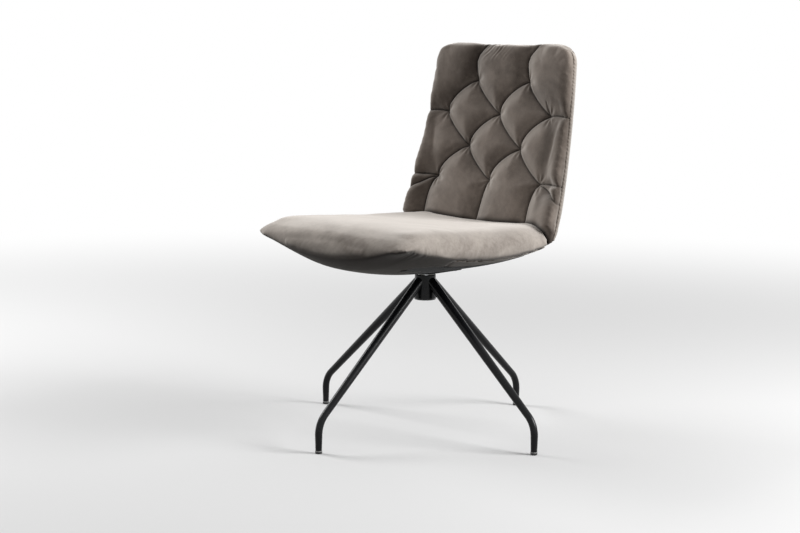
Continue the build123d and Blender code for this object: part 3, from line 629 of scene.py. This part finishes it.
def velvet(name, dark, light, pale, **brushing):
    """Cut pile: dark when looked into, with a painted sheen pale when looked along, brushed, and
    taken towards black by the painted shade on its points.
    """
    material, tree, shader = new_material(name)
    pile = use_group(tree, nap, **brushing)
    body = colour_between(tree, pile.outputs["Shade"], dark, light)
    # Painted sheen: the colour turns pale where the pile is seen edge on.
    rim = tree.nodes.new("ShaderNodeLayerWeight")
    rim.inputs["Blend"].default_value = 0.5
    rim_narrowing = 2.2
    looked_along = calculate(tree, "POWER", rim.outputs["Facing"], rim_narrowing)
    along = colour_between(tree, looked_along, body, pale)
    # Painted shade: the colour goes towards near black by the shade stored on the points.
    painted_shade = tree.nodes.new("ShaderNodeAttribute")
    painted_shade.attribute_name = "painted_shade"
    with_painted_shade = colour_between(tree, painted_shade.outputs["Fac"], along, painted_shade_black)
    link(tree, with_painted_shade, shader.inputs["Base Color"])
    shader.inputs["Roughness"].default_value = 0.9
    shader.inputs["Specular IOR Level"].default_value = 0.1
    shader.inputs["Sheen Weight"].default_value = 0.5
    shader.inputs["Sheen Roughness"].default_value = 0.4
    shader.inputs["Sheen Tint"].default_value = (0.9, 0.86, 0.82, 1)
    bump(tree, pile.outputs["Height"], shader, strength=0.35, distance=0.0006)
    return material


def painted(name, colour, roughness):
    """Sprayed paint on steel, rubbed a little."""
    material, tree, shader = new_material(name)
    paint = use_group(tree, skin)
    worn = rubbed_colour(colour, gain=1.5, lift=0.003)
    body = colour_between(tree, paint.outputs["Rub"], colour, worn)
    link(tree, body, shader.inputs["Base Color"])
    smooth, dull = roughness - 0.05, roughness + 0.08
    spread = respread(tree, paint.outputs["Rub"], To_Min=smooth, To_Max=dull)
    link(tree, spread.outputs["Result"], shader.inputs["Roughness"])
    shader.inputs["Specular IOR Level"].default_value = 0.2
    bump(tree, paint.outputs["Height"], shader, strength=0.12, distance=0.0002)
    return material


def plastic(name, colour, roughness):
    """Moulded plastic with a fine grain and scuffs."""
    material, tree, shader = new_material(name)
    grain = use_group(tree, skin, Grain=900.0, Rub_Scale=60.0)
    scuffed = rubbed_colour(colour, gain=0.8, lift=0.02)
    body = colour_between(tree, grain.outputs["Rub"], colour, scuffed)
    link(tree, body, shader.inputs["Base Color"])
    shader.inputs["Roughness"].default_value = roughness
    bump(tree, grain.outputs["Height"], shader, strength=0.15, distance=0.0001)
    return material


def plated(name, colour, roughness):
    """Zinc plated steel with a faint cloud in the plating."""
    material, tree, shader = new_material(name)
    cloud = use_group(tree, skin, Grain=1200.0, Rub_Scale=90.0)
    dull = rubbed_colour(colour, gain=0.75)
    body = colour_between(tree, cloud.outputs["Rub"], colour, dull)
    link(tree, body, shader.inputs["Base Color"])
    shader.inputs["Metallic"].default_value = 1.0
    shader.inputs["Roughness"].default_value = roughness
    bump(tree, cloud.outputs["Height"], shader, strength=0.1, distance=0.0001)
    return material


def plywood(name, pale, brown):
    """Ply with a long grain on its faces."""
    material, tree, shader = new_material(name)
    stretch = tree.nodes.new("ShaderNodeMapping")
    stretch.inputs["Scale"].default_value = (4.0, 40.0, 40.0)
    link(tree, object_spot(tree), stretch.inputs["Vector"])
    grain = noise(tree, stretch.outputs["Vector"], scale=6.0, detail=8.0)
    link(tree, colour_between(tree, grain, pale, brown), shader.inputs["Base Color"])
    shader.inputs["Roughness"].default_value = 0.65
    bump(tree, grain, shader, strength=0.2, distance=0.0003)
    return material


def woven(name, colour, thread, threads):
    """A thin woven cloth."""
    material, tree, shader = new_material(name)
    cloth = use_group(tree, weave, Threads=threads)
    body = colour_between(tree, cloth.outputs["Thread"], colour, thread)
    link(tree, body, shader.inputs["Base Color"])
    shader.inputs["Roughness"].default_value = 0.9
    bump(tree, cloth.outputs["Height"], shader, strength=0.3, distance=0.0002)
    return material


# Near black that the painted shade takes the velvet to, in creases, underneath and where parts
# meet.
painted_shade_black = (0.010, 0.008, 0.007)
taupe_dark = (0.098, 0.079, 0.066)
taupe_light = (0.258, 0.216, 0.185)
# Paler copies of the taupe colours for the seat: painted light for its brighter lighting.
seat_dark_painted_paler = (0.205, 0.176, 0.153)
seat_light_painted_paler = (0.490, 0.438, 0.392)
# The pale colour of the velvet's painted sheen.
painted_sheen_pale = (0.70, 0.65, 0.60)
birch_pale = (0.72, 0.55, 0.36)
birch_brown = (0.48, 0.31, 0.17)
cloth_black = (0.006, 0.006, 0.006)
cloth_thread = (0.022, 0.022, 0.022)
twine_dark = (0.12, 0.10, 0.09)
twine_light = (0.25, 0.22, 0.2)
finishes = {
    "black_frame": painted("black satin paint", (0.003, 0.0032, 0.004), 0.24),
    "plate_black": painted("black matt paint", (0.012, 0.012, 0.012), 0.55),
    "plug_grey": plastic("pale grey plastic", (0.42, 0.42, 0.41), 0.5),
    "glide_black": plastic("black glide plastic", (0.018, 0.018, 0.018), 0.5),
    "cap_black": plastic("black cap plastic", (0.012, 0.012, 0.012), 0.4),
    "bearing_plastic": plastic("natural bearing plastic", (0.72, 0.71, 0.66), 0.45),
    "zinc_steel": plated("zinc plated steel", (0.62, 0.63, 0.64), 0.32),
    "plywood": plywood("birch plywood", birch_pale, birch_brown),
    "dust_cloth": woven("black dust cloth", cloth_black, cloth_thread, 1500.0),
    "twine": woven("tuft twine", twine_dark, twine_light, 3000.0),
    "velvet": velvet("taupe velvet", taupe_dark, taupe_light, painted_sheen_pale),
}
# The seat's velvet: paler as painted light, with the longer strokes of its brushed pile.
seat_velvet_painted_paler = velvet(
    "taupe velvet painted paler",
    seat_dark_painted_paler,
    seat_light_painted_paler,
    painted_sheen_pale,
    Stroke_Scale=110.0,
    Stroke_Share=0.30,
    Stretch=(1.0, 1.0, 3.5),
    Turn=(0.0, 0.7, 0.0),
)


def dress(piece, finish):
    piece.data.materials.clear()
    piece.data.materials.append(finish)


for entry in frame["record"]["subparts"]:
    dress(nodes[entry["node"]], finishes[entry["material_slot"]])


def padded_piece(piece, node_name, finish):
    """A finished cushion: it stands for its solid, turns with the seat and wears velvet."""
    dress(piece, finish)
    piece.data.shade_smooth()
    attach(piece, "seat")
    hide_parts(node_name)


# ---------------------------------------------------------------- tufted back pad


def lay_on_face(pad):
    """Bring the front of the pad, inside its rolled rim, to the plain face.

    Gives the share that each point has in the front.
    """
    side_starts, side_full = 0.013, 0.018  # behind the face
    foot, foot_full = -0.240, -0.220
    rim, rim_full = 0.020, 0.013  # inside the outline
    top_rim, top_rim_full = 0.024, 0.014
    x, s, depth = local(points_of(pad))
    face = face_depth(x, s)
    half = outline_at(s)
    in_front = 1 - smooth_step(depth - face, side_starts, side_full)
    in_front = in_front * smooth_step(s, foot, foot_full)
    on_face = in_front * (1 - smooth_step(np.abs(x), half - rim, half - rim_full))
    on_face *= 1 - smooth_step(s, back_top - top_rim, back_top - top_rim_full)
    set_points(pad, place(x, s, depth + (face - depth) * on_face))
    return in_front


def draw_in(pad, in_front):
    """Draw the face in at its tufts and creases, and fill the padding between them.

    Gives the distance of each point to what holds the padding down.
    """
    cover = 0.0008  # the cloth lies this far outside the solid
    facing_up = (0.3, 0.8)
    top_roll, top_roll_full = 0.02, 0.008  # below the top
    top_lobe, side_lobes = 0.0012, 0.0030  # the roll over the top, and what it gains at its sides
    lobe_inner, lobe_outer = (0.075, 0.115), (0.150, 0.195)  # across
    seam_fade = (0.0010, 0.0085)  # behind the face, where the tufting fades before the side seam
    edge, edge_full = 0.060, 0.015  # inside the outline
    off_crease, edge_top_fade, towards_seat = (0.002, 0.022), (0.150, 0.200), (0.0, 0.15)
    points = points_of(pad)
    x, s, depth = local(points)
    aside = np.abs(x)
    half = outline_at(s)
    inward, nearest, _ = tufting(x, s)
    upward = normals_of(pad) @ np.array(up)
    at_top = smooth_step(s, back_top - top_roll, back_top - top_roll_full)
    over_top = smooth_step(upward, *facing_up) * at_top
    at_lobe = smooth_step(aside, *lobe_inner)
    lobes = top_lobe + side_lobes * at_lobe * (1 - smooth_step(aside, *lobe_outer))
    before_seam = 1 - smooth_step(depth - face_depth(x, s), *seam_fade)
    outward = (cover - inward * before_seam) * in_front * (1 - over_top) + lobes * over_top
    at_edge = smooth_step(aside, half - edge, half - edge_full) * in_front
    at_edge *= smooth_step(nearest, *off_crease) * (1 - smooth_step(s, *edge_top_fade))
    low_down = smooth_step(-s, *towards_seat)
    forward = at_edge * (edge_puff + (edge_puff_low - edge_puff) * low_down)
    moved = points + normals_of(pad) * outward[:, None]
    set_points(pad, moved - np.outer(forward, np.array(rearward)))
    return nearest


def gathers_at(x, s):
    """Uneven gathers that slant over the top between the two pleats."""
    height, spacing, slope = 0.0011, 0.0145, 0.8
    middle, reach = -0.030, 0.050  # across
    below, full = 0.160, 0.205  # up the back
    even, uneven = 0.55, 0.45
    slant = x - slope * (s - back_top)
    gathers = np.sin(slant * 2 * np.pi / spacing + wander(x, 2.6, 47) + wander(s, 1.3, 150))
    gathers *= (even + uneven * np.sin(slant * 170 + 1.2)) * smooth_step(s, below, full)
    return height * gathers * np.exp(-(((x - middle) / reach) ** 4))


def rays_round(tuft_x, tuft_s, x, s):
    """Small wrinkles that run out from a tuft like rays, no two tufts alike."""
    height, ring, ring_width, count = 0.0009, 0.014, 0.012, 7
    away = np.hypot(x - tuft_x, s - tuft_s)
    turn = np.arctan2(s - tuft_s, x - tuft_x)
    rays = np.sin(count * turn + tuft_x * 90 + 1.5 * np.sin(2 * turn + tuft_s * 70))
    return height * rays * bell((away - ring, ring_width))


def pad_painted_shade(points, x, s, line, in_front, seat):
    """Painted shade on the cloth, 0 to 1: dark lines in its creases and shade beside them, a
    shaded valley by the side, a darker left half, and shade where it meets the seat.
    """
    in_line, line_width = 0.62, 0.0017
    beside_line, beside_width = 0.3, 0.010
    in_valley, valley_x, valley_s = 0.45, 0.180, -0.040
    valley_half_width, valley_half_height = 0.020, 0.062
    on_left, left_reach = 0.12, 0.09
    at_seat, seat_reach, near_seat = 0.92, 0.0100, -0.10
    across = (x - valley_x) / valley_half_width
    along = (s - valley_s) / valley_half_height
    # Painted shade: dark crease lines, shade beside them, a valley by the side, the left half, and
    # contact shade at the seat.
    lines = in_line * bell((line, line_width))
    folds_and_painted_shade = (lines + beside_line * np.exp(-line / beside_width)) * in_front
    folds_and_painted_shade += in_valley * np.exp(-(across**2) - along**4) * in_front
    folds_and_painted_shade += on_left * smooth_step(-x, 0.0, left_reach) * in_front
    seat_skin = BVHTree.FromObject(seat, bpy.context.evaluated_depsgraph_get())
    for number in np.flatnonzero(s < near_seat):
        away = seat_skin.find_nearest(points[number])[3]
        folds_and_painted_shade[number] = max(folds_and_painted_shade[number], at_seat * bell((away, seat_reach)))
    return folds_and_painted_shade


def wrinkle(pad, seat):
    """Cut the creases' lines, gather the top, wrinkle the tufts and store the painted shade on the
    points.
    """
    cut_depth, cut_width = 0.0022, 0.0026
    side_fade, foot_fade = (0.016, 0.024), (-0.245, -0.225)
    points = points_of(pad)
    normals = normals_of(pad)
    x, s, depth = local(points)
    in_front = 1 - smooth_step(depth - face_depth(x, s), *side_fade)
    in_front *= smooth_step(s, *foot_fade)
    _, _, line = tufting(x, s)
    fine = cut_depth * bell((line, cut_width))
    fine += gathers_at(x, s)
    for tuft_x, tuft_s in tufts:
        fine += rays_round(tuft_x, tuft_s, x, s)
    set_points(pad, points - normals * (fine * in_front)[:, None])
    set_painted_shade(pad, pad_painted_shade(points, x, s, line, in_front, seat))


def build_back_pad(seat):
    """The front of the back: laid on its face, drawn in, blown up as cloth and wrinkled."""
    off_crease = (0.004, 0.016)  # the cloth is held at a crease and free beyond it
    pad = copy_of("back_pad", "back_pad_velvet")
    voxels(pad, size=0.0045)
    relax(pad, rounds=2)
    in_front = lay_on_face(pad)
    relax(pad, rounds=2)
    nearest = draw_in(pad, in_front)
    relax(pad, rounds=1)
    near_crease = 1 - smooth_step(nearest, *off_crease)
    plump(pad, np.maximum(1 - in_front, near_crease), pressure=5.0, furthest=0.004)
    subdivide(pad)
    wrinkle(pad, seat)
    padded_piece(pad, "back_pad", finish=finishes["velvet"])


# ---------------------------------------------------------------- rear of the back


def build_back_rear():
    """The rear cover, stretched over the board that lies in its pocket."""
    cover, low_cover = 0.0008, 0.0014  # outside the solid, and what it gains at the low end
    low_start, low_full = 0.215, 0.235
    panel = copy_of("back_rear_panel", "back_rear_velvet")
    board = copy_of("back_board", "board_in_pocket")
    deselect()
    board.select_set(True)
    panel.select_set(True)
    bpy.context.view_layer.objects.active = panel
    bpy.ops.object.join()
    voxels(panel, size=0.004)
    relax(panel, rounds=3)
    _, s, _ = local(points_of(panel))
    grow = cover + low_cover * smooth_step(-s, low_start, low_full)
    set_points(panel, points_of(panel) + normals_of(panel) * grow[:, None])
    padded_piece(panel, "back_rear_panel", finish=finishes["velvet"])


# ---------------------------------------------------------------- side strips


def border_ring(s, side):
    """The closed section of a side strip at s, as (x, depth): outer face, then inner face."""
    across = 9
    half = float(outline_at(s))
    seam = float(face_depth(half, s)) + side_roll
    depth_here = float(side_depth_at(s))
    to_top, to_foot = (border_top - s) / border_end_fade, (s - border_foot) / border_end_fade
    end_fade = min(1.0, to_top, to_foot)
    inset = rear_edge_inset * depth_here / side_depth
    waves = sin(s * 2 * pi / border_pucker_length + 2 * sin(s * 45))
    outer, inner = [], []
    for step in range(across + 1):
        share = step / across
        bulge = border_bulge * end_fade * (4 * share * (1 - share)) ** 0.5
        pucker = border_pucker * waves * (1 - share) ** 2 * end_fade
        x = half + border_cover - inset * share**2 + bulge + pucker
        depth = seam - border_overlap + (depth_here + 2 * border_overlap) * share
        outer.append((side * x, depth))
        inner.append((side * (half - inset * share**2 - border_lining), depth))
    return outer + inner[::-1]


def build_border(name, side, node_name):
    """The strip along one side of the back, puckered along its front seam."""
    count = 260
    build = bmesh.new()
    rings = []
    for number in range(count + 1):
        s = border_foot + (border_top - border_foot) * number / count
        verts = []
        for x, depth in border_ring(s, side):
            point = back_origin + Vector((x, 0, 0)) + up * s + rearward * depth
            verts.append(build.verts.new(point))
        rings.append(verts)
    for low, high in zip(rings, rings[1:]):
        for number in range(len(low)):
            after = (number + 1) % len(low)
            build.faces.new((low[number], low[after], high[after], high[number]))
    build.faces.new(rings[0])
    build.faces.new(rings[-1])
    bmesh.ops.recalc_face_normals(build, faces=build.faces)
    mesh = bpy.data.meshes.new(name)
    build.to_mesh(mesh)
    build.free()
    strip = bpy.data.objects.new(name, mesh)
    scene.collection.objects.link(strip)
    padded_piece(strip, node_name, finish=finishes["velvet"])


# ---------------------------------------------------------------- seat


def seam_height(y):
    """Height of the seam along the side of the seat."""
    return seam_low + seam_rise * y**2


def shape_seat(cushion):
    """Let the cover's thickness on, swell the corners of the nose and draw their tips out.

    Gives the share that each point is free to swell with, on the top.
    """
    cover, free_loss, corner_swell = 0.0017, 0.0021, 0.004
    above_seam, above_seam_full = 0.008, 0.026
    under_back, free_upward, corner_upward = (0.150, 0.178), (-0.1, 0.3), (-0.2, 0.4)
    corner_x, corner_y = 0.215, -0.275
    corner_width, corner_length = 0.045, 0.055
    tip_x, tip_y, tip_z = 0.235, -0.305, 0.484
    tip_width, tip_height = 0.040, 0.022
    points = points_of(cushion)
    normals = normals_of(cushion)
    x, y, z = points.T
    upward = normals[:, 2]
    free = smooth_step(z, seam_height(y) + above_seam, seam_height(y) + above_seam_full)
    free *= 1 - smooth_step(y, *under_back)
    free *= smooth_step(upward, *free_upward)
    aside = np.abs(x)
    corner = bell((aside - corner_x, corner_width), (y - corner_y, corner_length))
    grow = cover - free_loss * free + corner_swell * corner * smooth_step(upward, *corner_upward)
    tip = bell((aside - tip_x, tip_width), (y - tip_y, tip_width), (z - tip_z, tip_height))
    sideways, forwards, down = nose_tip_way
    still = np.ones(len(x))
    drawn = np.stack([np.sign(x) * sideways, forwards * still, down * still], axis=1)
    set_points(cushion, points + normals * grow[:, None] + drawn * (nose_tip * tip)[:, None])
    return free


def crumple_seat(cushion):
    """Soft waves on the top and fine creases round the corners of the nose, and painted shade
    along the side seam and on the faces that look down.
    """
    wave_height, fold_height, fold_spacing = 0.0007, 0.0006, 0.014
    corner_y, corner_z, fold_z = -0.262, 0.474, 0.47
    corner_length, corner_height = 0.030, 0.012
    top_upward, side_upward, below_downward = (0.2, 0.7), (0.55, 0.85), (0.15, 0.75)
    seam_starts, seam_full, seam_width = -0.002, 0.004, 0.0035
    seam_painted_shade, underside_painted_shade = 0.8, 0.9
    points = points_of(cushion)
    normals = normals_of(cushion)
    x, y, z = points.T
    upward = normals[:, 2]
    on_top = smooth_step(upward, *top_upward)
    waves = wave_height * np.sin(x * 31 + wander(y, 2.1, 23)) * np.sin(y * 27 + wander(x, 1.7, 19))
    side = 1 - smooth_step(upward, *side_upward)
    at_corner = bell((z - corner_z, corner_height), (y - corner_y, corner_length)) * side
    swing = 2.2 * np.sin(y * 120 + z * 60)
    folds_and_painted_shade = np.sin(y * 2 * np.pi / fold_spacing + (z - fold_z) * 90 + swing)
    bend = fold_height * folds_and_painted_shade * at_corner
    set_points(cushion, points + normals * (waves * on_top + bend)[:, None])
    # Painted shade: a dark line along the side seam behind the band's front, and darker faces that
    # look down.
    seam = smooth_step(y, band_front + seam_starts, band_front + seam_full)
    seam *= bell((z - seam_height(y), seam_width))
    below = smooth_step(-upward, *below_downward)
    set_painted_shade(cushion, np.maximum(seam_painted_shade * seam, underside_painted_shade * below))


def build_seat_cushion():
    """The top of the seat, which rolls over at the nose and runs under it."""
    most_free = 0.9
    cushion = copy_of("seat_cushion", "seat_velvet")
    voxels(cushion, size=0.005)
    relax(cushion, rounds=5)
    free = shape_seat(cushion)
    plump(cushion, 1 - free * most_free, pressure=4.0, furthest=0.0055)
    subdivide(cushion)
    crumple_seat(cushion)
    padded_piece(cushion, "seat_cushion", finish=seat_velvet_painted_paler)
    return cushion


def build_under_pad():
    """The panel under the seat, below the side seam, with painted shade at the seam and on faces
    that look down.
    """
    cover, seam_width = 0.0009, 0.003
    seam_painted_shade, underside_painted_shade, downward = 0.8, 0.5, (0.5, 0.95)
    pad = copy_of("seat_under_pad", "seat_under_velvet")
    voxels(pad, size=0.004)
    relax(pad, rounds=2)
    points = points_of(pad)
    set_points(pad, points + normals_of(pad) * cover)
    y, z = points[:, 1], points[:, 2]
    # Painted shade: darker along the top seam and on the faces that look down.
    seam = smooth_step(z, seam_height(y) - seam_width, seam_height(y))
    below = smooth_step(-normals_of(pad)[:, 2], *downward)
    set_painted_shade(pad, np.maximum(seam_painted_shade * seam, underside_painted_shade * below))
    padded_piece(pad, "seat_under_pad", finish=finishes["velvet"])


build_back_pad(build_seat_cushion())
build_back_rear()
build_border("back_border_left_velvet", -1, "back_border_left")
build_border("back_border_right_velvet", 1, "back_border_right")
build_under_pad()

# ---------------------------------------------------------------- floor, light and camera


def build_floor():
    """A pale floor that the camera sees fade to white, and that throws little light back up."""
    seen_grey, bounce_grey = (0.74, 0.74, 0.74), (0.08, 0.08, 0.08)
    below_feet = -0.0004
    bpy.ops.mesh.primitive_plane_add(size=60, location=(0, 0, below_feet))
    floor = bpy.context.active_object
    floor.name = "floor"
    material, tree, shader = new_material("pale floor")
    rays = tree.nodes.new("ShaderNodeLightPath")
    camera_ray, glossy_ray = rays.outputs["Is Camera Ray"], rays.outputs["Is Glossy Ray"]
    seen = calculate(tree, "MAXIMUM", camera_ray, glossy_ray)
    body = colour_between(tree, seen, bounce_grey, seen_grey)
    link(tree, body, shader.inputs["Base Color"])
    shader.inputs["Roughness"].default_value = 0.8
    shader.inputs["Specular IOR Level"].default_value = 0.2
    distance = tree.nodes.new("ShaderNodeVectorMath")
    distance.operation = "LENGTH"
    link(tree, object_spot(tree), distance.inputs[0])
    far = respread(tree, distance.outputs["Value"], From_Min=0.9, From_Max=4.0)
    far.interpolation_type = "SMOOTHSTEP"
    white = tree.nodes.new("ShaderNodeEmission")
    mix = tree.nodes.new("ShaderNodeMixShader")
    link(tree, calculate(tree, "MULTIPLY", far.outputs["Result"], seen), mix.inputs["Fac"])
    link(tree, shader.outputs["BSDF"], mix.inputs[1])
    link(tree, white.outputs["Emission"], mix.inputs[2])
    link(tree, mix.outputs["Shader"], tree.nodes["Material Output"].inputs["Surface"])
    dress(floor, material)


def build_world():
    """Even studio light, and a white surround for the camera and for reflections."""
    world = bpy.data.worlds.new("studio")
    scene.world = world
    world.use_nodes = True
    tree = world.node_tree
    tree.nodes.clear()
    out = tree.nodes.new("ShaderNodeOutputWorld")
    backgrounds = []
    for strength in (0.36, 1.0):
        background = tree.nodes.new("ShaderNodeBackground")
        background.inputs["Color"].default_value = (1, 1, 1, 1)
        background.inputs["Strength"].default_value = strength
        backgrounds.append(background)
    rays = tree.nodes.new("ShaderNodeLightPath")
    seen = rays.outputs["Is Camera Ray"]
    for kind in ("Is Glossy Ray", "Is Transmission Ray"):
        seen = calculate(tree, "MAXIMUM", seen, rays.outputs[kind])
    mix = tree.nodes.new("ShaderNodeMixShader")
    link(tree, seen, mix.inputs["Fac"])
    for number, background in enumerate(backgrounds, 1):
        link(tree, background.outputs["Background"], mix.inputs[number])
    link(tree, mix.outputs["Shader"], out.inputs["Surface"])


def build_lamp(name, spot, aim, size, power):
    """A square lamp at a spot, turned to its aim."""
    data = bpy.data.lights.new(name, "AREA")
    data.shape = "SQUARE"
    data.size = size
    data.energy = power
    lamp = bpy.data.objects.new(name, data)
    lamp.location = spot
    lamp.rotation_euler = (Vector(aim) - Vector(spot)).to_track_quat("-Z", "Y").to_euler()
    scene.collection.objects.link(lamp)


def build_camera():
    """The photograph's viewpoint: a long lens a little above the seat, turned 44 degrees."""
    spot = Vector((2.5886, -2.7469, 0.9511))
    turn, tilt, roll = radians(-44.22), radians(8.414), 0.009782
    focal_pixels, width_pixels = 1602.2, 800
    sensor_width = 36
    forward = Vector((sin(turn) * cos(tilt), cos(turn) * cos(tilt), -sin(tilt)))
    level = Vector((cos(turn), -sin(turn), 0))
    above = level.cross(forward)
    right = level * cos(roll) + above * sin(roll)
    top = above * cos(roll) - level * sin(roll)
    data = bpy.data.cameras.new("camera")
    data.sensor_fit = "HORIZONTAL"
    data.sensor_width = sensor_width
    data.lens = focal_pixels * sensor_width / width_pixels
    camera = bpy.data.objects.new("camera", data)
    columns = Matrix((right, top, -forward)).transposed()
    camera.matrix_world = Matrix.Translation(spot) @ columns.to_4x4()
    scene.collection.objects.link(camera)
    scene.camera = camera


build_floor()
build_world()
build_lamp("window right", (2.6, 1.3, 1.8), (0, 0, 0.5), size=1.4, power=105)
build_lamp("window left", (-2.6, -1.0, 2.1), (0, 0, 0.6), size=1.3, power=66)
build_camera()
